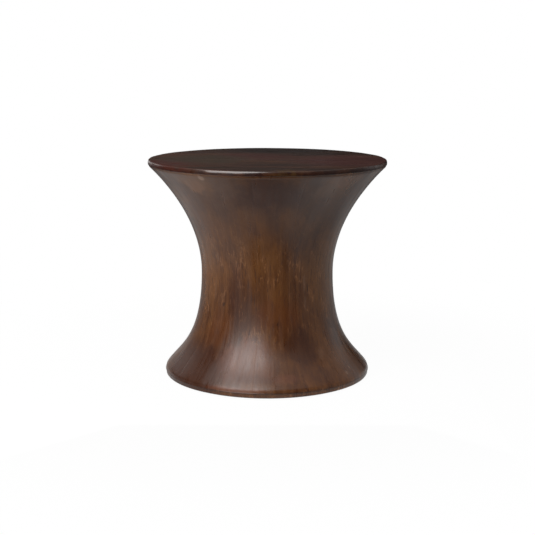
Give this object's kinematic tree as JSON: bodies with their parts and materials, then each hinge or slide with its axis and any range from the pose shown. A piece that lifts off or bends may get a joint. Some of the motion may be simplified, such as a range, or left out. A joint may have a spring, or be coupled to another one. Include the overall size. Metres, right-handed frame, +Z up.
{
  "type": "stool",
  "caption": "Round hourglass stool: a turned drum of upright wooden staves under a flat boarded seat, on low glides, in dark stained wood.",
  "frame": {"origin": "on the floor, under the middle of the seat", "axes": "+Z up along the drum's axis, the front of the stool towards -Y, the seat boards along X"},
  "size_m": [0.4894, 0.4894, 0.45],
  "materials": {
    "body_wood": "dark walnut stain under semi-gloss lacquer, upright grain",
    "seat_wood": "dark walnut stain under semi-gloss lacquer, grain across the seat",
    "plywood": "unfinished plywood",
    "dowel_wood": "unfinished beech",
    "screw_steel": "zinc plated",
    "glide_nylon": "dark moulded nylon"
  },
  "bodies": {
    "root": {"stave_01": "body_wood", "stave_02": "body_wood", "stave_03": "body_wood", "stave_04": "body_wood", "stave_05": "body_wood", "stave_06": "body_wood", "stave_07": "body_wood", "stave_08": "body_wood", "stave_09": "body_wood", "stave_10": "body_wood", "stave_11": "body_wood", "stave_12": "body_wood", "stave_13": "body_wood", "stave_14": "body_wood", "lower_dowels": "dowel_wood", "waist_dowels": "dowel_wood", "upper_dowels": "dowel_wood", "seat_board_1": "seat_wood", "seat_board_2": "seat_wood", "seat_board_3": "seat_wood", "seat_board_4": "seat_wood", "seat_board_5": "seat_wood", "seat_tongue_1": "dowel_wood", "seat_tongue_2": "dowel_wood", "seat_tongue_3": "dowel_wood", "seat_tongue_4": "dowel_wood", "seat_carrier": "plywood", "seat_screws": "screw_steel", "glide_1": "glide_nylon", "glide_2": "glide_nylon", "glide_3": "glide_nylon", "glide_4": "glide_nylon", "glide_5": "glide_nylon", "glide_6": "glide_nylon", "glide_7": "glide_nylon", "glide_nails": "screw_steel"}
  },
  "joints": []
}
